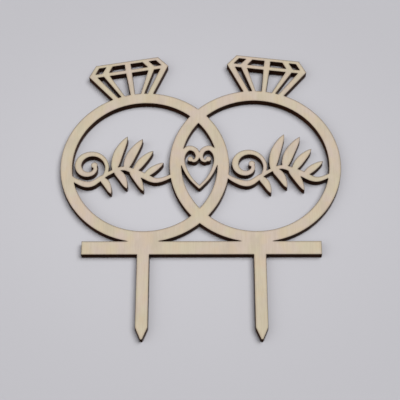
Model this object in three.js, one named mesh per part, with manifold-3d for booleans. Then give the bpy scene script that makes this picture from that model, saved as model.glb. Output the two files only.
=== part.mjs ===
// A wooden cake topper, cut by laser from one sheet of three-ply wood. Two linked rings stand on a rail.
// Each ring carries a cut gem seen from the side and is crossed by a leafy sprig, an open heart fills the
// lens where the rings cross, and two pointed stakes go down into the cake.
// Millimetres, +Z up. The face of the sheet looks towards -Y, and the rings cross near X = 0. The origin is
// the middle of the rail's underside, which rests on the cake.

import * as THREE from "three";
import { mergeVertices } from "three/addons/utils/BufferGeometryUtils.js";
import Module from "manifold-3d";

const { degToRad, lerp } = THREE.MathUtils;

// Sheet: two thin face veneers glued to a thick core veneer
const faceVeneer = 0.6;
const coreVeneer = 1.8;

// Rings: both stand at the same height on the rail, and the right one is a little larger
const leftRingRadius = 35.7;
const rightRingRadius = 36.3;
const ringBand = 5;
const ringSpacing = 46.7; // between the two centres
const ringShift = -0.6; // from the rail's middle to the middle between the centres
const ringFacets = 80;

// Rail under the rings
const railLength = 98;
const railHeight = 5.9;
const ringSink = 0.5; // how far a ring reaches below the rail's top edge

// Stakes
const stakeWidth = 5;
const stakeLength = 36.2; // from the rail's underside to the point
const stakeSpacing = 47.6; // between their middles
const stakePoint = 5; // length of the tapered end
const stakeNose = 0.8; // width of its blunt tip

// Gems: heights are measured from the ring's outer edge, along the gem's own axis
const leftGemLean = 9.8; // degrees that the gem leans outwards round its ring
const rightGemLean = 7.3;
const gemGirdleWidth = 35.3;
const gemGirdleHeight = 12.1;
const gemTableWidth = 27.8;
const gemTableHeight = 17.4;
const gemFootWidth = 17.8;
const tableBar = 1.5; // height of the bar along the top
const girdleBar = 1.8; // height of the bar across the widest part
const girdleBarRise = 0.9; // the part of that height that lies above the widest points

// Where the cut facets stand on each side of a gem's middle, as shares of half its girdle: the inner and
// outer corner at the top of a facet, then the outer and inner corner at its bottom
const crownFacetShares = [
  [0.075, 0.377, 0.487, 0.08],
  [0.542, 0.718, 0.831, 0.662],
];
const pavilionFacetShares = [
  [0.075, 0.483, 0.205, 0.055],
  [0.636, 0.79, 0.39, 0.302],
];

// Sprigs: places are shares of the clear width that a sprig spans between two bands, from its middle
const strokeThin = 1.6; // a stroke's width swells and shrinks between these two
const strokeThick = 2.8;
const knobFacets = 9; // of the round end of a stroke
const stemEndShare = -0.1; // the height at which a stem runs into the bands
const stemShares = [
  [-0.43, -0.19],
  [-0.3, -0.215],
  [-0.15, -0.11],
  [0.02, -0.035],
  [0.2, -0.1],
  [0.37, -0.175],
];
const curlCentreShares = [-0.32, -0.015];
const curlOuterShare = 0.19; // the curl's radius where it leaves the stem
const curlInnerShare = 0.05; // and at its end
const curlFrom = -35; // degrees, anticlockwise from +X
const curlTurn = 415;
const curlKnots = 12; // for each full turn
const leafShares = [
  { root: [-0.07, -0.06], bend: [-0.03, 0.14], tip: [0.06, 0.34], width: 0.1 },
  { root: [0.05, -0.04], bend: [0.11, 0.13], tip: [0.22, 0.31], width: 0.1 },
  { root: [0.14, -0.07], bend: [0.22, 0.05], tip: [0.33, 0.17], width: 0.085 },
  { root: [0.25, -0.12], bend: [0.33, -0.05], tip: [0.44, 0.03], width: 0.075 },
  { root: [-0.2, -0.15], bend: [-0.14, -0.21], tip: [-0.09, -0.33], width: 0.075 },
  { root: [-0.06, -0.06], bend: [0.01, -0.13], tip: [0.07, -0.27], width: 0.085 },
  { root: [0.1, -0.06], bend: [0.17, -0.15], tip: [0.24, -0.3], width: 0.08 },
];
const leafRootShare = 0.1; // how much of a leaf's full form is missing at its root
const stemSteps = 26;
const curlSteps = 38;
const leafSteps = 8;

// Heart in the lens: places are shares of the lens's clear width, from its middle
const heartThin = 1.3;
const heartThick = 2.4;
const heartShares = [
  [0, -0.7],
  [0.27, -0.38],
  [0.45, 0.03],
  [0.45, 0.33],
  [0.3, 0.52],
  [0.11, 0.46],
  [0.045, 0.26],
  [0.14, 0.12],
  [0.25, 0.18],
];
const heartSteps = 20;

const overrun = 2; // how far a piece reaches into the one that it joins

// Worked-out places
const rings = [
  { side: -1, radius: leftRingRadius, lean: leftGemLean },
  { side: 1, radius: rightRingRadius, lean: rightGemLean },
].map((ring) => ({
  ...ring,
  x: (ring.side * ringSpacing) / 2 + ringShift,
  z: railHeight - ringSink + ring.radius,
  inner: ring.radius - ringBand,
  middle: ring.radius - ringBand / 2,
}));

const wasm = await Module();
wasm.setup();

// A closed geometry as a solid that can be joined and cut
function solidOf(geometry) {
  geometry.deleteAttribute("normal");
  geometry.deleteAttribute("uv");
  const merged = mergeVertices(geometry);
  return new wasm.Manifold(
    new wasm.Mesh({
      numProp: 3,
      vertProperties: merged.attributes.position.array,
      triVerts: new Uint32Array(merged.index.array),
    }),
  );
}

function at(x, z) {
  return new THREE.Vector2(x, z);
}

// An outline in the plane of the sheet as a plate of unit thickness
function plate(points) {
  const shape = new THREE.Shape(points);
  return solidOf(
    new THREE.ExtrudeGeometry(shape, { depth: 1, bevelEnabled: false }),
  );
}

function disc(x, z, radius, facets) {
  const points = [];
  for (let i = 0; i < facets; i++) {
    const angle = (2 * Math.PI * i) / facets;
    points.push(at(x + radius * Math.cos(angle), z + radius * Math.sin(angle)));
  }
  return plate(points);
}

// A stroke of changing width along a curve through its points; a width of 0 at the end makes a sharp tip
function stroke(points, width, steps) {
  const line = new THREE.SplineCurve(points);
  const left = [];
  const right = [];
  for (let i = 0; i <= steps; i++) {
    const share = i / steps;
    const point = line.getPoint(share);
    const tangent = line.getTangent(share);
    const half = width(share) / 2;
    const normal = at(-tangent.y, tangent.x).multiplyScalar(half);
    left.push(point.clone().add(normal));
    if (half > 0) right.push(point.clone().sub(normal));
  }
  return plate([...left, ...right.reverse()]);
}

// The round end of a stroke
function knob(point, width) {
  return disc(point.x, point.y, width / 2, knobFacets);
}

// The point past the end of a line, by the length of one overrun
function runOn(from, to) {
  return to.clone().add(to.clone().sub(from).setLength(overrun));
}

function ringBandPlate(ring) {
  return disc(ring.x, ring.z, ring.radius, ringFacets).subtract(
    disc(ring.x, ring.z, ring.inner, ringFacets),
  );
}

// A gem stands on its ring's outer edge. Its crown facets are closed all round, and its pavilion facets are
// open down to that edge.
function gem(ring) {
  const lean = degToRad(-ring.side * ring.lean);
  const centre = at(ring.x, ring.z);
  const place = (point) => point.clone().rotateAround(at(0, 0), lean).add(centre);
  const halfGirdle = gemGirdleWidth / 2;
  const halfFoot = gemFootWidth / 2;
  const tableTop = ring.radius + gemTableHeight;
  const girdle = at(halfGirdle, ring.radius + gemGirdleHeight);
  const foot = at(halfFoot, Math.sqrt(ring.radius ** 2 - halfFoot ** 2));
  const rightEdge = [
    runOn(girdle, foot),
    girdle,
    at(gemTableWidth / 2, tableTop),
  ];
  const leftEdge = rightEdge.map((p) => at(-p.x, p.y)).reverse();

  const crownTop = tableTop - tableBar;
  const crownBottom = ring.radius + gemGirdleHeight + girdleBarRise;
  const pavilionTop = crownBottom - girdleBar;
  const facet = (side, [topIn, topOut, bottomOut, bottomIn], top, bottom) => {
    const across = (share) => side * share * halfGirdle;
    return [
      at(across(topIn), top),
      at(across(topOut), top),
      at(across(bottomOut), bottom),
      at(across(bottomIn), bottom),
    ];
  };
  const crownFacet = (side, shares) => facet(side, shares, crownTop, crownBottom);
  const pavilionFacet = (side, shares) => {
    const [topIn, topOut, bottomOut, bottomIn] = facet(side, shares, pavilionTop, ring.radius);
    return [topIn, topOut, runOn(topOut, bottomOut), runOn(topIn, bottomIn)];
  };
  const facets = [-1, 1].flatMap((side) => [
    ...crownFacetShares.map((shares) => crownFacet(side, shares)),
    ...pavilionFacetShares.map((shares) => pavilionFacet(side, shares)),
  ]);
  return facets.reduce(
    (solid, corners) => solid.subtract(plate(corners.map(place))),
    plate([...rightEdge, ...leftEdge].map(place)),
  );
}

function rail() {
  const half = railLength / 2;
  return plate([at(-half, 0), at(half, 0), at(half, railHeight), at(-half, railHeight)]);
}

function stake(side) {
  const middle = (side * stakeSpacing) / 2;
  const shoulder = stakePoint - stakeLength;
  const half = stakeWidth / 2;
  return plate([
    at(middle - half, overrun),
    at(middle - half, shoulder),
    at(middle - stakeNose / 2, -stakeLength),
    at(middle + stakeNose / 2, -stakeLength),
    at(middle + half, shoulder),
    at(middle + half, overrun),
  ]);
}

// A sprig spans from its own ring's outer side to the near side of the other ring
function sprig(ring, other) {
  const outerEdge = ring.x + ring.side * ring.inner;
  const innerEdge = other.x + ring.side * other.radius;
  const span = Math.abs(outerEdge - innerEdge);
  const middle = (outerEdge + innerEdge) / 2;
  const place = ([x, z]) => at(middle + x * span, ring.z + z * span);
  const onBand = (band) => {
    const height = stemEndShare * span;
    const reach = Math.sqrt(band.middle ** 2 - height ** 2);
    return at(band.x + ring.side * reach, ring.z + height);
  };
  const ends = [onBand(ring), onBand(other)].sort((a, b) => a.x - b.x);
  const stem = [ends[0], ...stemShares.map(place), ends[1]];
  const stemWidth = (share) => lerp(strokeThin, strokeThick, Math.sin(2 * Math.PI * share) ** 2);
  const solids = [stroke(stem, stemWidth, stemSteps)];

  const knots = Math.round((curlKnots * curlTurn) / 360);
  const curl = [];
  for (let i = 0; i <= knots; i++) {
    const angle = degToRad(curlFrom + (curlTurn * i) / knots);
    const radius = lerp(curlOuterShare, curlInnerShare, i / knots);
    curl.push(
      place([
        curlCentreShares[0] + radius * Math.cos(angle),
        curlCentreShares[1] + radius * Math.sin(angle),
      ]),
    );
  }
  const curlWidth = (share) => lerp(strokeThin, strokeThick, Math.sin(Math.PI * share) ** 2);
  solids.push(stroke(curl, curlWidth, curlSteps), knob(curl[knots], strokeThick));

  for (const leaf of leafShares) {
    const leafWidth = (share) => {
      const fromTip = (1 - share) * (1 - leafRootShare);
      return 4 * leaf.width * span * fromTip * (1 - fromTip);
    };
    const line = [leaf.root, leaf.bend, leaf.tip].map(place);
    solids.push(stroke(line, leafWidth, leafSteps));
  }
  return solids;
}

// Two strokes that rise from the heart's tip, touch the bands at its sides and curl inwards at its notch
function heart([left, right]) {
  const lensLeft = right.x - right.inner;
  const lensRight = left.x + left.inner;
  const span = lensRight - lensLeft;
  const middle = (lensLeft + lensRight) / 2;
  const height = (left.z + right.z) / 2;
  const heartWidth = (share) => lerp(heartThin, heartThick, Math.sin(Math.PI * share) ** 2);
  return [-1, 1].flatMap((side) => {
    const line = heartShares.map(([x, z]) => at(middle + side * x * span, height + z * span));
    return [
      stroke(line, heartWidth, heartSteps),
      knob(line[0], heartThin),
      knob(line[line.length - 1], heartThick),
    ];
  });
}

const [leftRing, rightRing] = rings;
const cuts = [
  rail(),
  ...rings.map(ringBandPlate),
  ...rings.map(gem),
  ...[-1, 1].map(stake),
  ...sprig(leftRing, rightRing),
  ...sprig(rightRing, leftRing),
  ...heart(rings),
];
const cut = cuts.reduce((whole, solid) => whole.add(solid)).getMesh();

// The whole cut-out standing upright, one unit thick, with its rear face at Y = 0
const joined = new THREE.BufferGeometry();
joined.setAttribute("position", new THREE.BufferAttribute(cut.vertProperties, 3));
joined.setIndex(new THREE.BufferAttribute(cut.triVerts, 1));
const fretwork = joined.toNonIndexed();
fretwork.rotateX(Math.PI / 2);
fretwork.computeVertexNormals();

const topper = new THREE.Group();
// Only the charred walls of the core show
const layers = [
  { name: "front_face_veneer", thickness: faceVeneer, colour: "#d2c4a6" },
  { name: "core_veneer", thickness: coreVeneer, colour: "#3d2716" },
  { name: "rear_face_veneer", thickness: faceVeneer, colour: "#d2c4a6" },
];
const sheetThickness = layers.reduce((total, layer) => total + layer.thickness, 0);
let rear = -sheetThickness / 2;
for (const { name, thickness, colour } of layers) {
  rear += thickness;
  const material = new THREE.MeshStandardMaterial({ color: colour, roughness: 0.7, metalness: 0 });
  const layer = new THREE.Mesh(fretwork, material);
  layer.name = name;
  layer.scale.y = thickness;
  layer.position.y = rear;
  topper.add(layer);
}

export default topper;
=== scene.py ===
import math

import bmesh
import bpy
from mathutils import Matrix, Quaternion, Vector
from mathutils.geometry import interpolate_bezier


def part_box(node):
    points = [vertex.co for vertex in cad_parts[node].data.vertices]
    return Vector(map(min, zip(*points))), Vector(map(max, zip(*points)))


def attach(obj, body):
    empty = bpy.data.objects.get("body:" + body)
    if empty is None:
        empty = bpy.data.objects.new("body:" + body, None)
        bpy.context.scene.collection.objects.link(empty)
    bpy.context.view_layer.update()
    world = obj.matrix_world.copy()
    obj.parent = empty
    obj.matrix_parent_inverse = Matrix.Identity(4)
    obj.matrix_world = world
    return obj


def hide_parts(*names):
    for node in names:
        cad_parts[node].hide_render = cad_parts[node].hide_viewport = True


# A wooden cake topper, cut by laser from three-ply wood: pale sanded faces, charred cut walls. It lies
# with its rear face on a pale board and is photographed from in front and below. The light is soft, and
# most of it comes from the right and a little above.

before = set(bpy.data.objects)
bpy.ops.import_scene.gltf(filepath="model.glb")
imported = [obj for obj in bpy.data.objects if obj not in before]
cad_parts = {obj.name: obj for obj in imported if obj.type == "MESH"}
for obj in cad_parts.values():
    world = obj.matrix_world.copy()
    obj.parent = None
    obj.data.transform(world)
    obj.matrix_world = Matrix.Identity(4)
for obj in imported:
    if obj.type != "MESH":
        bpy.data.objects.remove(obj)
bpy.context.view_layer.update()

mm = 0.001  # lengths below are real sizes, and Blender works in metres

# Sheet, as the solids have it
sheet_thickness = 3 * mm
core_thickness = 1.8 * mm

# Cut line: the solids' outline, with its curves made finer
sharpest_bend = 42  # degrees: where the outline turns more than this in one point, it has a corner
longest_edge = 4 * mm  # of a curve: a longer edge is straight
fine_bend = 2.5  # degrees: about the most that a finer curve turns in one point
same_point = 0.0001 * mm  # a solid's facets have points of their own, and closer than this they are one
front_facing = -0.5  # along Y: a facet's normal below this looks to the front

# Edges of a face: a charred line, and a brown haze beside it
char_reach = 0.4 * mm
haze_reach = 1.3 * mm
haze_share = 0.3
edge_samples = 8

# Wood: one cell of each pattern along X, Y and Z, and how much of the pattern shows
patch_cell = (9 * mm, 9 * mm, 14 * mm)
dull_cell = (7 * mm, 9 * mm, 10 * mm)
dull_share = 0.35
warm_cell = (4 * mm, 6 * mm, 6 * mm)
warm_share = 0.5
grain_cell = (0.5 * mm, 2 * mm, 16 * mm)
grain_share = 0.28
fibre_cell = (0.14 * mm, 1 * mm, 3 * mm)
fibre_share = 0.3

# Soot on the cut walls, and the dark lines at the two glue films
streak_cell = (0.3 * mm, 5 * mm, 0.3 * mm)
streak_share = 0.6
cloud_cell = (4 * mm, 4 * mm, 4 * mm)
cloud_share = 1 - streak_share
glue_dark = 0.04 * mm  # this far from the film its line is darkest
glue_reach = 0.12 * mm  # and this far from it the line ends
glue_share = 0.7

# Surfaces: their roughness and shine as shares, and the height and share of their relief
face_roughness = 0.65
wall_roughness = 0.9
veneer_shine = 0.1
veneer_relief = 0.02 * mm
veneer_relief_share = 0.3
core_roughness = 0.95
core_shine = 0.05
core_relief = 0.03 * mm
core_relief_share = 0.4

# Camera: it aims at a point on the front face
aim_x = -0.61 * mm
aim_z = 24.69 * mm
camera_distance = 449.7 * mm
camera_elevation = -26.38  # degrees
camera_azimuth = 0.157  # degrees
camera_roll = 0.03  # degrees, clockwise as the camera sees it
lens = 97.2  # Blender's own units: millimetres, as is the sensor's width
sensor = 36

# Light: the share of the world and of each lamp in what falls on a face, and angles in degrees
world_share = 0.11
key = {"share": 0.71, "tilt": 24, "turn": 24, "softness": 45}
fill = {"share": 0.18, "tilt": 45, "turn": 195, "softness": 60}

# Board that the topper lies on, with a painted pool of light on it
board_gap = 0.05 * mm
board_half = 600 * mm
board_left = 7 * mm  # how far left of the topper's middle its painted pool of light is palest
board_height = 34 * mm  # and how high up
board_fade = 115 * mm  # from there up or down to where the painted light has faded to the backdrop's tone
board_stretch = 1.25  # that reach sideways against the reach up or down
contact_shade_reach = 0.8 * mm  # of the painted contact shadow: a dark line painted on the board where the topper meets it
contact_shade_darkest = 0.5  # share of open air at which that painted shadow is darkest
contact_shade_end = 0.75  # and at which it ends
contact_shade_samples = 8


def tone(red, green, blue):
    """A colour as it looks on screen, from 0 to 255, as the linear colour that shaders use."""
    def linear(value):
        share = value / 255
        return share / 12.92 if share <= 0.04045 else ((share + 0.055) / 1.055) ** 2.4
    return (linear(red), linear(green), linear(blue), 1)


straw = tone(205, 194, 169)
rose = tone(206, 189, 176)
dull_wood = tone(184, 171, 150)
warm_wood = tone(209, 189, 161)
dark_grain = tone(184, 166, 142)
pale_fibre = tone(222, 210, 190)
haze_brown = tone(118, 100, 84)
char_brown = tone(60, 40, 28)
dark_soot = tone(38, 17, 7)
pale_soot = tone(70, 37, 18)
glue_black = tone(18, 8, 4)
# the palest middle of the painted pool of light on the board
painted_light_middle = tone(205, 204, 209)
# colour of the painted contact shadow on the board
painted_contact_shade = tone(70, 64, 62)
backdrop = tone(194, 193, 198)


class Shade:
    """One output of a shader node. Sums and products of it add Math nodes to the same tree."""

    def __init__(self, tree, socket=None):
        self.tree = tree
        self.socket = socket

    def node(self, kind, settings=None, values=None, output=0):
        """A new node of any kind: its settings come first, then its sockets' values or links."""
        made = self.tree.nodes.new(kind)
        for name, setting in (settings or {}).items():
            setattr(made, name, setting)
        for name, value in (values or {}).items():
            if isinstance(value, Shade):
                self.tree.links.new(value.socket, made.inputs[name])
            else:
                made.inputs[name].default_value = value
        return Shade(self.tree, made.outputs[output] if made.outputs else None)

    def math(self, operation, *terms):
        return self.node("ShaderNodeMath", {"operation": operation}, dict(enumerate(terms)))

    def __add__(self, other):
        return self.math("ADD", self, other)

    def __sub__(self, other):
        return self.math("SUBTRACT", self, other)

    def __rsub__(self, other):
        return self.math("SUBTRACT", other, self)

    def __mul__(self, other):
        return self.math("MULTIPLY", self, other)

    __rmul__ = __mul__

    def __abs__(self):
        return self.math("ABSOLUTE", self)

    def rise(self, low, high):
        """0 below low, 1 above high, and a smooth rise between; low above high turns it round."""
        return self.node(
            "ShaderNodeMapRange", {"interpolation_type": "SMOOTHSTEP"},
            {"Value": self, "From Min": low, "From Max": high},
        )

    def tint(self, first, second):
        """This share of the second colour in the first."""
        return self.node(
            "ShaderNodeMix", {"data_type": "RGBA"}, {0: self, 6: first, 7: second}, output=2,
        )

    def axis(self, name):
        return self.node("ShaderNodeSeparateXYZ", None, {"Vector": self}, output=name)

    def in_cells(self, cell):
        """This place measured in cells of this size along X, Y and Z."""
        return self.node("ShaderNodeVectorMath", {"operation": "DIVIDE"}, {0: self, 1: cell})

    def speckle(self, cell, detail=2, roughness=0.5):
        """Noise from 0 to 1 at this place, with cells of this size."""
        return self.node(
            "ShaderNodeTexNoise", None,
            {"Vector": self.in_cells(cell), "Scale": 1, "Detail": detail, "Roughness": roughness},
        )


def new_material(name):
    """A material with an empty tree, and the shade that its nodes start from."""
    material = bpy.data.materials.new(name)
    material.use_nodes = True
    material.node_tree.nodes.clear()
    return material, Shade(material.node_tree)


def show(start, surface):
    start.node("ShaderNodeOutputMaterial", None, {"Surface": surface})


def show_matte(start, colour, roughness, shine, relief, relief_share, height):
    """A dull surface whose relief goes with this height, from 0 to 1."""
    normal = start.node(
        "ShaderNodeBump", None, {"Strength": relief_share, "Distance": relief, "Height": height},
    )
    show(start, start.node("ShaderNodeBsdfPrincipled", None, {
        "Base Color": colour,
        "Roughness": roughness,
        "Specular IOR Level": shine,
        "Normal": normal,
    }))


def char_colour(place):
    """A wall burnt by the laser: soot with fine streaks along the cut, and darker lines at the glue."""
    streaks = place.speckle(streak_cell, detail=3)
    clouds = place.speckle(cloud_cell)
    burnt = streaks.rise(0.3, 0.7) * streak_share + clouds.rise(0.3, 0.7) * cloud_share
    soot = burnt.tint(dark_soot, pale_soot)
    depth = abs(place.axis("Y"))
    glue = abs(depth - core_thickness / 2).rise(glue_reach, glue_dark)
    return (glue * glue_share).tint(soot, glue_black), streaks


def wood_colour(place):
    """
    A sanded face of pale wood: slow patches of straw and rose, duller and warmer ones among them, faint
    grain that runs up the sheet, and short fibres.
    """
    patches = place.speckle(patch_cell, detail=3).rise(0.35, 0.65)
    dull = place.speckle(dull_cell, detail=3).rise(0.45, 0.7)
    warm = place.speckle(warm_cell).rise(0.45, 0.7)
    grain = place.speckle(grain_cell, detail=4, roughness=0.6)
    fibre = place.speckle(fibre_cell).rise(0.45, 0.8)
    patched = patches.tint(straw, rose)
    dulled = (dull * dull_share).tint(patched, dull_wood)
    warmed = (warm * warm_share).tint(dulled, warm_wood)
    streaked = (grain.rise(0.4, 0.75) * grain_share).tint(warmed, dark_grain)
    return (fibre * fibre_share).tint(streaked, pale_fibre), grain


def nearness(start, reach, near, far):
    """
    How close a place on a face is to a cut edge, from 0 to 1. A normal that is rounded over this reach
    turns away from Y there: where far of it is left the share is 0, and where only near is left it is 1.
    """
    rounded = start.node("ShaderNodeBevel", {"samples": edge_samples}, {"Radius": reach})
    return abs(rounded.axis("Y")).rise(far, near)


def veneer_material():
    """Sanded wood on the faces of a veneer, and char on its cut walls."""
    material, start = new_material("sanded_face_charred_edge")
    place = start.node("ShaderNodeTexCoord", output="Object")
    facing = abs(start.node("ShaderNodeTexCoord", output="Normal").axis("Y"))
    face = facing.rise(0.5, 0.95)
    char, streaks = char_colour(place)
    bare, grain = wood_colour(place)
    haze = nearness(start, haze_reach, near=0.95, far=1)
    hazed = (haze * haze_share).tint(bare, haze_brown)
    wood = nearness(start, char_reach, near=0.9, far=0.98).tint(hazed, char_brown)
    show_matte(
        start, face.tint(char, wood), wall_roughness - (wall_roughness - face_roughness) * face,
        veneer_shine, veneer_relief, veneer_relief_share, face * grain + (1 - face) * streaks,
    )
    return material


def core_material():
    """Char all over, because only the core's cut walls can be seen."""
    material, start = new_material("charred_core")
    char, streaks = char_colour(start.node("ShaderNodeTexCoord", output="Object"))
    show_matte(start, char, core_roughness, core_shine, core_relief, core_relief_share, streaks)
    return material


def outline_of(node):
    """The closed lines round the front face of a node's solid, as lists of points (x, z)."""
    solid = bmesh.new()
    solid.from_mesh(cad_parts[node].data)
    bmesh.ops.remove_doubles(solid, verts=solid.verts, dist=same_point)
    ahead = {}
    for facet in solid.faces:
        for side in facet.loops:
            beyond = side.link_loop_radial_next.face
            if facet.normal.y < front_facing <= beyond.normal.y:
                ahead[side.vert] = side.link_loop_next.vert
    loops = []
    while ahead:
        start, point = ahead.popitem()
        loop = [start.co.xz]
        while point != start:
            loop.append(point.co.xz)
            point = ahead.pop(point)
        loops.append(loop)
    solid.free()
    return loops


def tangents(edges):
    """The way that a closed line runs where each of its edges starts, or None at a corner."""
    ways = []
    for before, after in zip(edges[-1:] + edges[:-1], edges):
        short = max(before.length, after.length) < longest_edge
        curved = short and before.angle(after) < math.radians(sharpest_bend)
        # a circle through the ends of both edges runs this way between them
        lean = before / before.length ** 2 + after / after.length ** 2
        ways.append(lean.normalized() if curved else None)
    return ways


def bent_edge(start, edge, leaving, arriving):
    """Points on a curve in an edge's place, but for its end. Towards a corner it is a circle's arc."""
    along = edge.normalized()
    leaving = leaving or -arriving.reflect(along)
    arriving = arriving or -leaving.reflect(along)
    bend = leaving.angle(along) + along.angle(arriving)
    steps = math.ceil(math.degrees(bend) / fine_bend) or 1
    # with handles of this length a bezier curve follows a circle
    reach = edge.length / (1.5 * (1 + math.cos(bend / 2)))
    end = start + edge
    return interpolate_bezier(
        start, start + leaving * reach, end - arriving * reach, end, steps + 1,
    )[:-1]


def finer(loop):
    """The same closed line with more points on its curves. Corners and straight edges stay as they are."""
    edges = [end - start for start, end in zip(loop, loop[1:] + loop[:1])]
    ways = tangents(edges)
    line = []
    for start, edge, leaving, arriving in zip(loop, edges, ways, ways[1:] + ways[:1]):
        if leaving or arriving:
            line += bent_edge(start, edge, leaving, arriving)
        else:
            line.append(start)
    return line


def ply_shape(loops, front, rear):
    """A closed body between two depths along Y, with these lines as its outline and windows."""
    shape = bmesh.new()
    rims = []
    for depth in (front, rear):
        rim = []
        for loop in loops:
            points = [shape.verts.new((point[0], depth, point[1])) for point in loop]
            rim += [shape.edges.new(pair) for pair in zip(points, points[1:] + points[:1])]
        bmesh.ops.triangle_fill(shape, use_beauty=True, edges=rim)
        rims.append(rim)
    for near, far in zip(*rims):
        shape.faces.new((near.verts[0], near.verts[1], far.verts[1], far.verts[0]))
    bmesh.ops.recalc_face_normals(shape, faces=shape.faces)
    return shape


def make_ply(name, node, loops, material):
    """One veneer of the sheet, as thick as its node and with the finer outline."""
    low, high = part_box(node)
    shape = ply_shape(loops, low[1], high[1])
    mesh = bpy.data.meshes.new(name)
    shape.to_mesh(mesh)
    shape.free()
    mesh.materials.append(material)
    ply = bpy.data.objects.new(name, mesh)
    bpy.context.scene.collection.objects.link(ply)
    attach(ply, "root")
    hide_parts(node)


def board_material():
    """Pale, with painted light a little darker away from its middle, and a painted shadow beside the
    topper. Only the camera sees it, and only from in front.
    """
    material, start = new_material("pale_board")
    place = start.node("ShaderNodeTexCoord", output="Object")
    faded = place.in_cells((board_stretch * board_fade, board_fade, board_fade))
    away = place.node("ShaderNodeVectorMath", {"operation": "LENGTH"}, {0: faded}, output="Value")
    # painted pool of light: the board is palest at its middle and fades to the backdrop's tone
    pale = away.rise(0, 1).tint(painted_light_middle, backdrop)
    # painted shadow: ambient occlusion darkens the board's colour where the topper meets it
    open_air = start.node(
        "ShaderNodeAmbientOcclusion", {"samples": contact_shade_samples}, {"Distance": contact_shade_reach},
        output="AO",
    )
    colour = open_air.rise(contact_shade_darkest, contact_shade_end).tint(painted_contact_shade, pale)
    lit = start.node("ShaderNodeBsdfDiffuse", None, {"Color": colour})
    clear = start.node("ShaderNodeBsdfTransparent")
    seen = start.node("ShaderNodeLightPath", output="Is Camera Ray")
    behind = start.node("ShaderNodeNewGeometry", output="Backfacing")
    show(start, start.node("ShaderNodeMixShader", None, {0: seen * (1 - behind), 1: clear, 2: lit}))
    return material


def make_board():
    """The surface behind the rear face."""
    half = board_half
    mesh = bpy.data.meshes.new("board")
    mesh.from_pydata(
        [(-half, 0, -half), (half, 0, -half), (half, 0, half), (-half, 0, half)], [], [(0, 1, 2, 3)],
    )
    mesh.materials.append(board_material())
    board = bpy.data.objects.new("board", mesh)
    board.location = (-board_left, sheet_thickness / 2 + board_gap, board_height)
    bpy.context.scene.collection.objects.link(board)


def make_world():
    """Even light from all sides, and the backdrop that the camera sees."""
    world = bpy.data.worlds.new("studio")
    world.use_nodes = True
    world.node_tree.nodes.clear()
    start = Shade(world.node_tree)
    light = start.node("ShaderNodeBackground", None, {"Color": (1, 1, 1, 1), "Strength": world_share})
    sight = start.node("ShaderNodeBackground", None, {"Color": backdrop})
    seen = start.node("ShaderNodeLightPath", output="Is Camera Ray")
    shown = start.node("ShaderNodeMixShader", None, {0: seen, 1: light, 2: sight})
    start.node("ShaderNodeOutputWorld", None, {"Surface": shown})
    bpy.context.scene.world = world


def make_lamp(name, side, share, tilt, turn, softness):
    """
    A soft lamp far off, in front of the sheet with side -1 or behind it with side 1, that gives this share
    of a face's light. Its angles are in degrees: tilt from square on to the face, turn upwards from the
    level line to the right, and softness across.
    """
    tilt = math.radians(tilt)
    turn = math.radians(turn)
    towards = Vector((
        math.sin(tilt) * math.cos(turn),
        side * math.cos(tilt),
        math.sin(tilt) * math.sin(turn),
    ))
    lamp = bpy.data.lights.new(name, "SUN")
    lamp.energy = share * math.pi / math.cos(tilt)
    lamp.angle = math.radians(softness)
    sun = bpy.data.objects.new(name, lamp)
    sun.rotation_euler = towards.to_track_quat("Z", "Y").to_euler()
    bpy.context.scene.collection.objects.link(sun)


def make_camera():
    """The photographer's place: in front and below, at arm's length."""
    elevation = math.radians(camera_elevation)
    azimuth = math.radians(camera_azimuth)
    towards = Vector((
        math.sin(azimuth) * math.cos(elevation),
        -math.cos(azimuth) * math.cos(elevation),
        math.sin(elevation),
    ))
    data = bpy.data.cameras.new("camera")
    data.lens = lens
    data.sensor_width = sensor
    camera = bpy.data.objects.new("camera", data)
    camera.location = Vector((aim_x, -sheet_thickness / 2, aim_z)) + towards * camera_distance
    level = towards.to_track_quat("Z", "Y")
    camera.rotation_euler = (Quaternion(towards, -math.radians(camera_roll)) @ level).to_euler()
    bpy.context.scene.collection.objects.link(camera)
    bpy.context.scene.camera = camera


make_camera()
outline = [finer(loop) for loop in outline_of("core_veneer")]
face = veneer_material()
make_ply("front_face_ply", "front_face_veneer", outline, face)
make_ply("core_ply", "core_veneer", outline, core_material())
make_ply("rear_face_ply", "rear_face_veneer", outline, face)
make_board()
make_world()
for place, side in (("in_front", -1), ("behind", 1)):
    make_lamp("key_" + place, side, **key)
    make_lamp("fill_" + place, side, **fill)

bpy.context.scene.view_settings.view_transform = "Standard"
